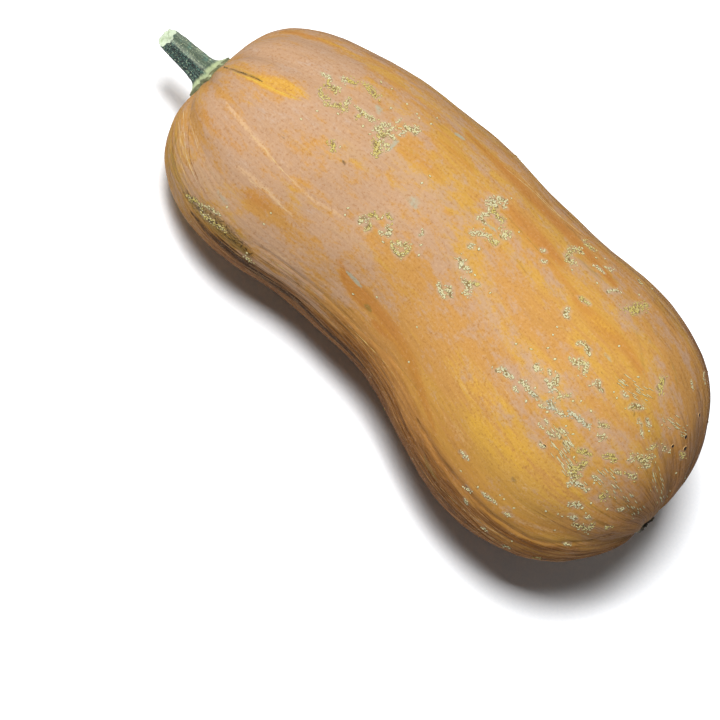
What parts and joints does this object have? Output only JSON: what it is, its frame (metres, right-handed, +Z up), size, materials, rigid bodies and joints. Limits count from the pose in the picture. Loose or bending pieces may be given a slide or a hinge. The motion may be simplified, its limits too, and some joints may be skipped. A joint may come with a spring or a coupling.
{
  "type": "butternut squash",
  "caption": "Large thick-necked butternut squash lying on its side, a ribbed bent fruit with a short cut stem and a dried blossom scar.",
  "frame": {"origin": "middle of the flat spot under the bulb, on the surface that the squash lies on", "axes": "+X level, along the chord from the stem towards the blossom scar; +Y to the side towards which the neck bends; +Z up"},
  "size_m": [0.3356, 0.1501, 0.143],
  "materials": {
    "rind": "waxy satin rind with a dry bloom and corky flecks",
    "stem_bark": "dried green stem, matte",
    "scar_cork": "dark dry cork"
  },
  "bodies": {
    "root": {"fruit": "rind", "stem": "stem_bark", "blossom_scar": "scar_cork"}
  },
  "joints": []
}
